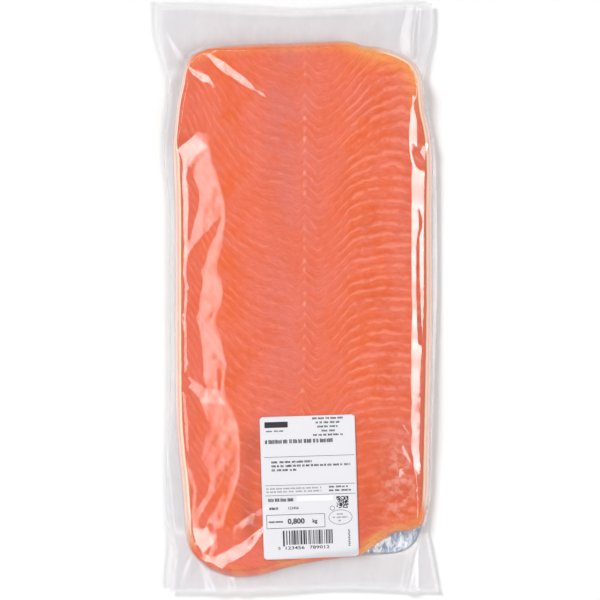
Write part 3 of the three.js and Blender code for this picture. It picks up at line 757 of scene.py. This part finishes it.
# Where the two films are sealed together they are a little milky, most of all along the two ends.
FILM_HAZE = {"colour": (0.91, 0.90, 0.915, 1), "share": 0.38, "seal": 0.34}


def film_material(name):
    n = Nodes(name)
    on_fish = n.attribute("on_fish")
    edge = n.minus(1.0, n.ramp(n.attribute("to_cut"), 0.0, 1.2))
    # The pink tint beside the fish is a painted reflection of the fish's colour.
    tint = n.mix_colour(n.attribute("blush"), FILM_TINT["margin"], FILM_TINT["blush"])
    tint = n.mix_colour(on_fish, tint, FILM_TINT["on_fish"])
    tint = n.mix_colour(edge, tint, FILM_TINT["cut"])
    clear = n.add("ShaderNodeBsdfTransparent", {"Color": tint})
    haze = n.add("ShaderNodeBsdfDiffuse", {"Color": FILM_HAZE["colour"]})
    streaky = n.ramp(n.noise(60, 3, 0.6, n.stretch(1, 0.5)), 0.3, 0.7, 0.93, 1.07)
    milky = n.times(n.ramp(on_fish, 0.0, 1.0, FILM_HAZE["share"], 0.0), streaky)
    milky = n.plus(milky, n.times(n.attribute("seal"), FILM_HAZE["seal"]))
    body = n.add("ShaderNodeMixShader", {0: milky, 1: clear.outputs[0], 2: haze.outputs[0]})
    wrinkle = n.bump(n.noise(260, 3), 0.05, 0.0004)
    gloss = n.add("ShaderNodeBsdfGlossy", {"Color": (1, 1, 1, 1), "Roughness": 0.07, "Normal": wrinkle})
    facing = n.add("ShaderNodeLayerWeight", {"Blend": 0.5}).outputs["Facing"]
    share = n.times(n.ramp(facing, 0.35, 1.0, 0.04, 0.32), n.ramp(n.attribute("lifted"), 0.0, 1.0, 1.12, 2.7))
    uneven = n.ramp(n.noise(75, 4, 0.62, None, 0.6), 0.32, 0.68, 0.72, 1.2)
    share = n.times(share, n.times(uneven, n.ramp(on_fish, 0.0, 1.0, 0.56, 1.0)))
    mixed = n.add("ShaderNodeMixShader", {0: share, 1: body.outputs[0], 2: gloss.outputs[0]})
    return n.finish(mixed.outputs[0])


FLESH = {
    "coral": colour(242, 121, 98),
    "rose": colour(229, 121, 107),
    "orange": colour(240, 106, 54),
    "ember": colour(232, 96, 44),
    "amber": colour(252, 170, 96),
    "deep": colour(220, 95, 64),
    "dusk": colour(196, 92, 72),
    "fat": colour(255, 154, 128),
    "pale": colour(255, 186, 167),
    "cream": colour(255, 232, 208),
    "brown": colour(222, 118, 84),
    "tan": colour(246, 190, 168),
    "edge": colour(255, 222, 214),
    "midline": colour(255, 184, 162),
}
# Bands along the fish's edge, each over the one before it: how far in each begins to fade and ends, the
# attribute that says where it shows, and how strong it is
RIM_BANDS = [("brown", 4.7, 5.3, "skin_line", 0.9), ("cream", 3.5, 4.0, "skin", 0.95),
             ("tan", 2.1, 2.7, "skin", 0.9), ("edge", 1.1, 1.6, "skin", 0.9)]


def flesh_material():
    n = Nodes("smoked_salmon")
    grain = n.noise(900, 2, 0.6, n.stretch(1, 1.6))
    strength = n.attribute("line_strength")

    # Streaks of muscle run along the fat lines, so their noise lies in the lines' own directions.
    warp = n.times(n.minus(n.noise(70, 2), 0.5), 0.9)
    fine_warp = n.times(n.minus(n.noise(300, 2), 0.5), 0.16)
    phase = n.plus(n.attribute("line_phase"), n.plus(warp, fine_warp))
    links = {"X": n.times(phase, 3.4), "Y": n.attribute("line_along")}
    streak = n.noise(1.8, 2, 0.5, n.add("ShaderNodeCombineXYZ", links).outputs[0])

    def fat_line(shift, narrow, low, high, scale):
        near = n.minus(n.math("FRACT", n.plus(phase, shift)), 0.5)
        width = n.times(n.attribute("line_width"), n.ramp(n.noise(scale, 2), 0.3, 0.7, 0.7, 1.3))
        above = n.ramp(near, 0.0, n.times(width, 1.5), 1.0, 0.0)
        below = n.ramp(near, n.times(width, -narrow), 0.0)
        chance = n.plus(n.noise(scale * 0.8, 2, 0.6, n.stretch(1.0, 0.8)), n.attribute("line_gaps"))
        return n.times(n.times(above, below), n.ramp(chance, low, high))

    second = n.times(fat_line(0.47, 1.1, 0.46, 0.70, 190), 0.35)
    line = n.times(n.math("MAXIMUM", fat_line(0.0, 0.9, 0.35, 0.62, 150), second), strength)
    shade = n.math("ABSOLUTE", n.minus(n.math("FRACT", n.plus(phase, 0.08)), 0.5))
    shade = n.times(n.ramp(shade, 0.2, 0.42), n.ramp(n.noise(75, 2), 0.35, 0.66, 0.25, 1.0))

    # Each layer covers a share of what is under it.
    layers = [
        (n.attribute("rose"), "rose"),
        (n.times(n.attribute("orange"), n.ramp(n.noise(60, 3), 0.34, 0.64, 0.2, 1.0)), "orange"),
        (n.attribute("deep"), "deep"),
        (n.attribute("dusk"), "dusk"),
        (n.attribute("amber"), "amber"),
        (n.ramp(n.noise(42, 3), 0.4, 0.66, 0.0, 0.40), "orange"),
        (n.ramp(grain, 0.45, 0.75, 0.0, 0.06), "deep"),
        (n.ramp(streak, 0.46, 0.70, 0.0, 0.34), "deep"),
        (n.ramp(streak, 0.44, 0.28, 0.0, 0.20), "fat"),
        (n.times(shade, strength), "ember"),
        (line, "fat"),
        (n.times(n.ramp(n.noise(170, 3, 0.55), 0.42, 0.66), n.attribute("mottle")), "pale"),
        (n.times(n.attribute("midline"), n.ramp(n.noise(330, 2), 0.42, 0.62, 0.3, 1.0)), "midline"),
    ]
    rim = n.plus(n.attribute("rim"), n.times(n.minus(n.noise(90, 2), 0.5), 0.5))
    for name, inner, outer, where, share in RIM_BANDS:
        layers.append((n.times(n.ramp(rim, inner, outer, share, 0.0), n.attribute(where)), name))
    base = FLESH["coral"]
    for share, name in layers:
        base = n.mix_colour(share, base, FLESH[name])
    relief = n.bump(n.plus(line, n.times(grain, 0.4)), 0.12, 0.0006)
    shader = n.add("ShaderNodeBsdfPrincipled", {"Base Color": base, "Roughness": 0.55, "Normal": relief})
    shader.inputs["Specular IOR Level"].default_value = 0.25
    return n.finish(shader.outputs[0])


def foil_material():
    n = Nodes("foil_card")
    crinkle = n.noise(230, 4, 0.6, n.stretch(1.5, 0.75), 0.8)
    # The tone runs from blue-grey to near white with the crinkles: painted reflections of the crinkled foil,
    # on top of the crinkles' bump.
    tone = n.mix_colour(n.ramp(crinkle, 0.36, 0.66), colour(150, 170, 196), colour(250, 252, 255))
    return n.finish_plain(tone, 0.3, Metallic=0.45, Normal=n.bump(crinkle, 0.8, 0.0012))


def paper_material(name, tone):
    n = Nodes(name)
    fibre = n.noise(1400, 3, 0.6)
    tint = n.mix_colour(n.ramp(fibre, 0.3, 0.7, 0.0, 0.05), tone, colour(200, 200, 208))
    return n.finish_plain(tint, 0.5, Normal=n.bump(fibre, 0.08, 0.0002))


def ink_material(name, tone):
    n = Nodes(name)
    speckle = n.noise(2400, 2)
    tint = n.mix_colour(n.ramp(speckle, 0.5, 0.8, 0.0, 0.25), tone, colour(110, 110, 116))
    return n.finish_plain(tint, 0.5)


# The fish's fat lines. Each table gives how far a line lies above the midline's peak, across the fish.
MIDLINE_X = 4.6
LINE_SPACING = 7.5
LINE_ACROSS = [-77, -70, -63, -56, -48, -40, -32, -25, -18, -10, -5, -1, 1.2, 4.6, 12, 14, 19, 24,
               29, 33.5, 36.5, 42, 50, 60, 71, 81, 92]
LINE_RISE_MIDDLE = [60, 48, 37, 27.5, 18.5, 11, 5.5, 2.2, 0.2, -1.8, -3.6, -5.5, -4.5, 0, -7.6, -8.3, -5.5,
                    -1.4, 4, 9, 11.7, 13.8, 16, 17.3, 17.3, 16, 13]
LINE_RISE_TOP = [72, 60, 49, 38, 27.5, 17, 9.5, 4.5, 1, -1.6, -3.6, -5.5, -4.5, 0, -7.6, -8.3, -7,
                 -4.5, -1, 3.5, 7, 13.5, 21, 26.5, 29, 27, 21]


def line_rise(x, y):
    middle = np.interp(x, LINE_ACROSS, LINE_RISE_MIDDLE)
    top = np.interp(x, LINE_ACROSS, LINE_RISE_TOP)
    return mix(middle, top, smooth(70, 150, y))


def flesh_attributes(piece, x, y, rim, edge):
    mid = x + 2.4 * smooth(-20, -90, y)
    right = smooth(14, 40, mid) * (0.56 - 0.3 * smooth(-60, -110, y))
    left = smooth(0, -14, mid) * 0.34
    centre = bell(mid, 9, 9) * 0.36
    strength = (right + left + centre) * smooth(172, 150, y) * smooth(-188, -150, y)
    places = np.arange(-100.0, 101.0)
    slope = np.gradient(line_rise(places, 60))
    steps = np.concatenate([[0], np.cumsum(np.sqrt(1 + slope**2))])[:-1]
    along = (y / LINE_SPACING) % 1.0
    dots = bell(mid, MIDLINE_X, 0.9) * bell(along, 0.45, 0.28) * (0.4 + 0.35 * ripples(x * 0, y, 14, 8))
    rose = bell(x, -11, 13) * (0.55 + 0.45 * smooth(20, 100, y))
    rose += 0.35 * bell(x, 10, 8)
    rose += 0.4 * bell(x, 72, 9)
    orange = 0.9 * bell(x, 46, 20) + 0.9 * bell(x, -48, 14) + 0.2 * smooth(68, 78, x)
    orange += 0.9 * bell(x, 66, 26) * bell(y, -146, 14) + 0.5 * smooth(150, 172, y) * bell(x, -60, 30)
    deep = 0.5 * smooth(-60, -150, y) * smooth(-30, 60, x) * smooth(6, 14, rim)
    deep += 0.25 * smooth(-58, -74, x)
    deep += 0.3 * np.clip(ripples(x, y, 34, 61, stretch=1.5), 0, 1) * smooth(20, 45, x)
    dusk = 0.55 * bell(x, -32, 8) * smooth(-84, -96, y) * smooth(-178, -160, y)
    dusk += 0.22 * smooth(-70, -140, y) * smooth(20, 50, x)
    amber = smooth(20, 4, rim) * smooth(115, 165, y) * smooth(15, 65, x)
    amber += 0.75 * smooth(9, 3, rim) * smooth(-140, -152, y) * smooth(20, 44, x)
    amber += 0.4 * smooth(10, 4, rim) * smooth(150, 168, y)
    amber += (0.22 + 0.3 * ripples(x, y, 16, 51)) * smooth(11, 3, rim) * smooth(-146, -160, y)
    narrow = 1 + 0.7 * smooth(96, 110, y) * (x < 0)
    right_side = smooth(0, 40, x)
    top_end = mix(smooth(150, 168, y), smooth(66, 50, x) * smooth(150, 160, y), right_side)
    low_end = mix(smooth(-150, -176, y), smooth(-135, -150, y), right_side)
    skin = np.clip(1 - top_end - low_end, 0, 1)
    add_attributes(
        piece,
        line_phase=(y - line_rise(mid, y) + 0.8 * ripples(x, y, 60, 21)) / LINE_SPACING,
        line_along=np.interp(mid, places, steps) / 9,
        line_strength=strength * smooth(4, 9, rim),
        line_gaps=-0.05 * smooth(0, -14, mid) + 0.03 * smooth(20, 40, mid),
        line_width=0.15 + 0.11 * smooth(20, 50, x) + 0.06 * smooth(0, -40, x),
        mottle=0.62 * bell(x, 70, 12) * bell(y, -128, 32),
        midline=np.clip(dots, 0, 0.8) * smooth(170, 160, y) * smooth(-90, -70, y),
        rose=np.clip(rose, 0, 1),
        orange=np.clip(orange * smooth(-178, -150, y), 0, 1),
        deep=np.clip(deep, 0, 1),
        dusk=np.clip(dusk * (1 + 0.5 * ripples(x, y, 24, 71)), 0, 1),
        amber=np.clip(amber, 0, 1),
        rim=edge * narrow / mix(1.08, 1.05, smooth(60, 80, x)),
        skin=skin,
        skin_line=skin * mix(1 - smooth(140, 158, y), 1 - smooth(95, 125, y), right_side),
    )


FISH_CORNERS = [(-73.5, 166.5), (77.5, 164.2), (85.8, -157), (-61.5, -187)]
FISH_GRID = (190, 380)
CARD_GRID = (90, 180)
LABEL_GRID = (60, 91)
FISH_INSET = 0.2
CARD_INSET = 1.3

# The fish lies this far under the film, and its fat lines stand out a little.
FISH_GAP = 0.35
LINE_RELIEF = 0.06

# The fish's wall bulges, has grooves between its layers and is undercut at its foot. Its skin shows to the
# given depth.
WALL = {"levels": 7, "bulge": 0.3, "groove": 0.35, "undercut": 0.9, "layer": 2.4, "skin": 1.4}


def make_fish(material):
    columns, rows = FISH_GRID
    across = graded_shares(columns, 0.04, 0.04, 1.6)
    flat = coons_grid(*stretches(FISH_POINTS, FISH_CORNERS), across, rows).reshape(-1, 2)
    depth = fish_inside.at(*flat.T)
    pull = way_in(fish_inside, flat)
    x, y = (flat + FISH_INSET * (1 - smooth(0, 4, depth))[:, None] * pull).T
    rim = np.maximum(0, fish_inside.at(x, y))
    rise = LINE_RELIEF * np.sin(math.tau * (y - line_rise(x, y)) / LINE_SPACING) * smooth(5, 12, rim)
    top = np.column_stack([x, y, contents_top.at(x, y) - FISH_GAP + rise])
    upper = border(rows, columns)
    edge_points = top[upper]
    outward = -pull[upper]
    parts = [top]
    faces = [grid_faces(rows, columns)]
    start = len(top)
    card_top = FILM_THICKNESS + CARD_THICKNESS + 0.1
    for level in range(1, WALL["levels"] + 1):
        share = level / WALL["levels"]
        height = mix(edge_points[:, 2], card_top, share)
        layer = np.abs(((height + edge_points[:, 1] / 60) / WALL["layer"]) % 1.0 - 0.5)
        shift = WALL["bulge"] * np.sin(math.pi * share) - WALL["groove"] * smooth(0.3, 0.5, layer)
        shift -= WALL["undercut"] * share**2
        parts.append(np.column_stack([edge_points[:, :2] + outward * shift[:, None], height]))
        lower = np.arange(len(upper)) + start
        faces.append(band_faces(upper, lower))
        upper = lower
        start += len(lower)
    parts.append([[*flat.mean(0), card_top]])
    points = np.vstack(parts)
    walls = [tuple(face[::-1]) for face in np.vstack(faces).tolist()]
    foot = [(start, int(b), int(a)) for a, b in zip(upper, np.roll(upper, -1))]
    piece = new_object("smoked_salmon_side", points, walls + foot, material)
    rest = len(points) - len(rim)
    depths = np.concatenate([rim, np.zeros(rest)])
    edge = np.concatenate([rim, np.full(rest, WALL["skin"])])
    flesh_attributes(piece, points[:, 0], points[:, 1], depths, edge)
    return piece


def make_card(material):
    columns, rows = CARD_GRID
    grid = coons_grid(*stretches(CONTENTS, CONTENTS_CORNERS), np.linspace(0, 1, columns), rows).reshape(-1, 2)
    depth = contents_inside.at(*grid.T)
    x, y = (grid + CARD_INSET * (1 - smooth(0, 5, depth))[:, None] * way_in(contents_inside, grid)).T
    crinkle = 0.12 * ripples(x, y, 7, 31) * bareness(x, y)
    upper = np.column_stack([x, y, FILM_THICKNESS + CARD_THICKNESS + crinkle])
    lower = np.column_stack([x, y, np.full(len(x), FILM_THICKNESS + 0.1)])
    return slab("foil_card", upper, lower, rows, columns, material)


# From the label's own plane, with its origin in the middle, to a place on the pack
def on_label(u, v, lift):
    turn = math.radians(LABEL["turn"])
    x = LABEL["x"] + u * math.cos(turn) - v * math.sin(turn)
    y = LABEL["y"] + u * math.sin(turn) + v * math.cos(turn)
    return np.column_stack([x, y, film_top.at(x, y) + lift])


LABEL_LIFT = 0.12
PRINT_LIFT = 0.05


def make_label(material):
    columns, rows = LABEL_GRID
    half_width, half_length, corner = LABEL["width"] / 2, LABEL["length"] / 2, LABEL["corner"]
    v = np.linspace(half_length, -half_length, rows)
    into = np.maximum(0, np.abs(v) - (half_length - corner))
    reach = half_width - corner + np.sqrt(np.maximum(0, corner**2 - into**2))
    u = (np.linspace(-1, 1, columns)[None, :] * reach[:, None]).ravel()
    v = np.repeat(v, columns)
    upper = on_label(u, v, LABEL_LIFT + LABEL["thickness"])
    return slab("paper_label", upper, on_label(u, v, LABEL_LIFT), rows, columns, material)


# Print is laid out in the label's own plane and then laid on its surface.
class Print:
    step = 2.0
    lift = LABEL_LIFT + LABEL["thickness"] + PRINT_LIFT

    def __init__(self):
        self.points = []
        self.faces = []
        self.count = 0

    def patch(self, grid):
        rows, columns = grid.shape[:2]
        flat = grid.reshape(-1, 2)
        self.points.append(on_label(flat[:, 0], flat[:, 1], self.lift))
        self.faces.extend(grid_faces(rows, columns, self.count, True).tolist())
        self.count += rows * columns

    # A straight bar from one point to another
    def bar(self, start, end, width):
        start, end = np.array(start, float), np.array(end, float)
        length = np.linalg.norm(end - start)
        along = np.linspace(0, 1, max(2, int(length / self.step) + 1))[:, None]
        line = mix(start, end, along)
        side = np.array([-(end - start)[1], (end - start)[0]]) / length * width / 2
        self.patch(np.stack([line - side, line + side], 1))

    # A filled box with its left, bottom, right and top
    def block(self, left, bottom, right, top):
        columns = max(2, int((right - left) / self.step) + 1)
        rows = max(2, int((top - bottom) / self.step) + 1)
        u, v = np.meshgrid(np.linspace(left, right, columns), np.linspace(bottom, top, rows))
        self.patch(np.stack([u, v], -1))

    def frame(self, left, bottom, right, top, width):
        self.bar((left, bottom), (right, bottom), width)
        self.bar((left, top), (right, top), width)
        self.bar((left, bottom), (left, top), width)
        self.bar((right, bottom), (right, top), width)

    def ring(self, centre, radii, width, sides=48):
        angle = np.linspace(0, math.tau, sides + 1)
        way = np.stack([np.cos(angle), np.sin(angle)], 1)
        inner = np.array(centre) + way * (np.array(radii) - width / 2)
        outer = np.array(centre) + way * (np.array(radii) + width / 2)
        self.patch(np.stack([outer, inner], 1))

    # Digits in the built-in typeface
    def digits(self, text, left, bottom, height, squeeze=1.0, bold=0.015):
        curve = bpy.data.curves.new("digits", "FONT")
        curve.body = text
        curve.size = 1.0
        curve.offset = bold
        curve.resolution_u = 3
        holder = show("digits", curve)
        mesh = bpy.data.meshes.new_from_object(holder)
        bpy.data.objects.remove(holder)
        flat = np.array([vertex.co[:2] for vertex in mesh.vertices])
        scale = height / 0.7
        flat = flat * scale * np.array([squeeze, 1.0]) + np.array([left, bottom])
        self.points.append(on_label(flat[:, 0], flat[:, 1], self.lift))
        self.faces.extend([[i + self.count for i in face.vertices] for face in mesh.polygons])
        self.count += len(flat)
        bpy.data.meshes.remove(mesh)

    def piece(self, name, material):
        return new_object(name, np.vstack(self.points), self.faces, material, False)


# A line of plain dashes in place of words
def dashes(ink, left, right, middle, height, rng):
    u = left
    while u < right - 0.6:
        length = min(rng.uniform(1.2, 4.6), right - u)
        mark = u
        while mark < u + length - 0.3:
            stroke = rng.uniform(0.42, 0.74)
            drop = height * rng.choice([0.55, 0.55, 0.42])
            ink.block(mark, middle - height / 2, mark + stroke, middle + drop)
            mark += stroke + rng.uniform(0.16, 0.28)
        u += length + rng.uniform(0.7, 1.1)


def make_print(black, grey, white):
    rng = np.random.default_rng(4)
    ink, pale, blank = Print(), Print(), Print()
    half_width, half_length = LABEL["width"] / 2, LABEL["length"] / 2
    # Upper left: a plain bar, then one row under it
    ink.block(-29.5, 41.6, -13.5, 45.6)
    dashes(ink, -28.5, -15.5, 39.2, 0.9, rng)
    # Upper right: five centred rows
    for row, reach in enumerate([10.5, 8.2, 7.2, 4.4, 10.2]):
        dashes(ink, 14 - reach, 14 + reach, 47.2 - 2.85 * row, 1.3, rng)
    # The heading
    dashes(ink, -29.5, 18.5, 31.9, 2.6, rng)
    ink.bar((-half_width + 2.5, 21.4), (half_width - 1.2, 21.4), 0.28)
    for row, right in enumerate([2.5, 29, -7.5]):
        dashes(ink, -25.5, right, 17.8 - 2.75 * row, 1.4, rng)
    ink.bar((-half_width + 2.5, 1.8), (half_width - 1.2, 1.8), 0.28)
    for row in range(2):
        dashes(pale, -29.5, 8.5, -0.5 - 2.2 * row, 1.0, rng)
        dashes(ink, 13.5, 26.5 + 2.5 * row, -0.2 - 2.5 * row, 1.2, rng)
    ink.bar((-half_width + 2.5, -5.2), (half_width - 1.2, -5.2), 0.28)
    dashes(ink, -28.5, -9.5, -8.4, 2.2, rng)
    blank.block(-9, -9.6, 16, -5.9)
    dashes(ink, -28, -20.8, -14.2, 1.7, rng)
    ink.digits("123456", -15.4, -15, 1.8)
    # A square of small cells
    for row in range(13):
        for column in range(13):
            if rng.random() < 0.58:
                u, v = 18.4 + column * 0.63, -6.9 - row * 0.63
                ink.block(u, v - 0.63, u + 0.63, v)
    ink.ring((15.4, -15.0), (1.5, 1.5), 0.3, 24)
    # The box with the weight
    ink.frame(-30, -27.8, 10, -18.6, 0.34)
    dashes(ink, -28.6, -18.6, -23.4, 1.2, rng)
    ink.digits("0,800", -15.6, -24.9, 3.5, 1.05, 0.03)
    ink.digits("kg", 1.4, -24.6, 2.6, 1.0, 0.03)
    ink.ring((20.8, -21.4), (8.0, 5.0), 0.26)
    for row, reach in enumerate([2.4, 5.2, 1.4]):
        dashes(pale, 20.8 - reach, 20.8 + reach, -19.2 - 2.3 * row, 1.0, rng)
    # Bars of varied width, with plain digits under them
    u = -19.2
    while u < 15.6:
        width = rng.choice([0.38, 0.38, 0.76, 1.14])
        foot = -39.4 if 0.5 < u + 19.2 < 34 else -40.4
        ink.block(u, foot, u + width, -29.6)
        u += width + rng.choice([0.38, 0.38, 0.76, 1.14])
    ink.digits("0", -22.6, -42.6, 2.1)
    ink.digits("123456", -18.4, -42.6, 2.1, 1.55)
    ink.digits("789012", -1.2, -42.6, 2.1, 1.55)
    for row in range(9):
        v = -31.0 - 1.3 * row
        ink.block(25.8, v, 27.2, v + 0.34)
        ink.block(25.8 + 0.5 * (row % 2), v + 0.45, 26.6 + 0.5 * (row % 2), v + 0.9)
    return [
        ink.piece("label_print_black", black),
        pale.piece("label_print_grey", grey),
        blank.piece("label_blank_field", white),
    ]


FLOOR_REACH = 3000
FLOOR_GAP = 0.3


def make_floor():
    n = Nodes("floor")
    cloudy = n.ramp(n.noise(6, 2), 0.3, 0.7, 0.0, 0.04)
    tone = n.mix_colour(cloudy, (0.98, 0.98, 0.98, 1), (0.96, 0.96, 0.96, 1))
    corners = [(-1, -1), (1, -1), (1, 1), (-1, 1)]
    points = [(FLOOR_REACH * x, FLOOR_REACH * y, -FLOOR_GAP) for x, y in corners]
    floor = new_object("floor", points, [(0, 1, 2, 3)], n.finish_plain(tone, 0.9))


# A light that faces the pack, with its second side as near to the pack's length as it can be. It shows only
# as a reflection.
def area_light(name, place, size, watts):
    light = bpy.data.lights.new(name, "AREA")
    light.shape = "RECTANGLE"
    light.size, light.size_y = size
    light.energy = watts
    back = mathutils.Vector(place).normalized()
    across = mathutils.Vector((0, 1, 0)).cross(back).normalized()
    lamp = show(name, light)
    lamp.location = place
    lamp.visible_diffuse = False
    lamp.rotation_euler = mathutils.Matrix((across, back.cross(across), back)).transposed().to_euler()


# A light from far away that comes from the given direction and shows in no reflection
def wide_light(name, direction, energy, angle):
    sun = bpy.data.lights.new(name, "SUN")
    sun.energy = energy
    sun.angle = angle
    lamp = show(name, sun)
    lamp.rotation_euler = mathutils.Vector(direction).to_track_quat("Z", "Y").to_euler()
    lamp.visible_glossy = False


def make_lights():
    area_light("left_softbox", (-1.0, 0.0, 2.76), (0.60, 4.6), 22.5)
    area_light("left_core", (-1.0, 0.0, 2.70), (0.28, 4.6), 8.9)
    area_light("right_softbox", (1.72, 0.0, 2.6), (0.50, 3.4), 42)
    area_light("left_strip", (-3.8, 0.0, 2.5), (0.7, 3.0), 15)
    area_light("back_softbox", (-0.65, 1.65, 2.7), (1.1, 0.9), 15)
    wide_light("key", (-0.59, 0.53, 0.61), 2.3, 0.3)
    wide_light("fill", (0.61, -0.37, 0.70), 1.2, 0.3)
    wide_light("low_right", (0.90, -0.10, 0.42), 0.7, 0.8)
    wide_light("low_left", (-0.50, -0.75, 0.43), 0.7, 0.5)
    world = bpy.data.worlds.new("studio")
    world.use_nodes = True
    background = world.node_tree.nodes["Background"]
    background.inputs["Color"].default_value = (1, 1, 1, 1)
    background.inputs["Strength"].default_value = 0.14
    bpy.context.scene.world = world


# The camera looks straight down. Its frame is square, and covers this width at the pack.
VIEW_WIDTH = 414 * MM
CAMERA_DISTANCE = 2.0


def make_camera():
    camera = bpy.data.cameras.new("camera")
    camera.sensor_width = 36
    camera.lens = camera.sensor_width * CAMERA_DISTANCE / VIEW_WIDTH
    holder = show("camera", camera)
    holder.location = (1.4 * MM, -1.7 * MM, CAMERA_DISTANCE + 0.008)
    bpy.context.scene.camera = holder


def build():
    film = film_material("clear_film")
    top = film_sheet("top_film", film_top.at, *TOP_GRID, film, False)
    bottom = film_sheet("bottom_film", bottom_film_height, *BOTTOM_GRID, film, True)
    fish = make_fish(flesh_material())
    card = make_card(foil_material())
    label = make_label(paper_material("label_paper", colour(236, 235, 240)))
    black = ink_material("black_ink", colour(38, 38, 42))
    grey = ink_material("grey_ink", colour(150, 150, 156))
    white = paper_material("blank_field", colour(250, 250, 253))
    prints = make_print(black, grey, white)
    for piece, slot in [(top, "clear_film"), (bottom, "clear_film"), (fish, "smoked_salmon"),
                        (card, "foil_card"), (label, "label_paper"), (prints[0], "label_ink"),
                        (prints[1], "label_ink"), (prints[2], "label_paper")]:
        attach(piece, "root")
    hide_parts("sealed_pack")
    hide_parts("sealed_pack")
    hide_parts("sealed_pack")
    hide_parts("sealed_pack")
    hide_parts("label")


build()
make_floor()
make_lights()
make_camera()
bpy.context.scene.view_settings.view_transform = "Standard"
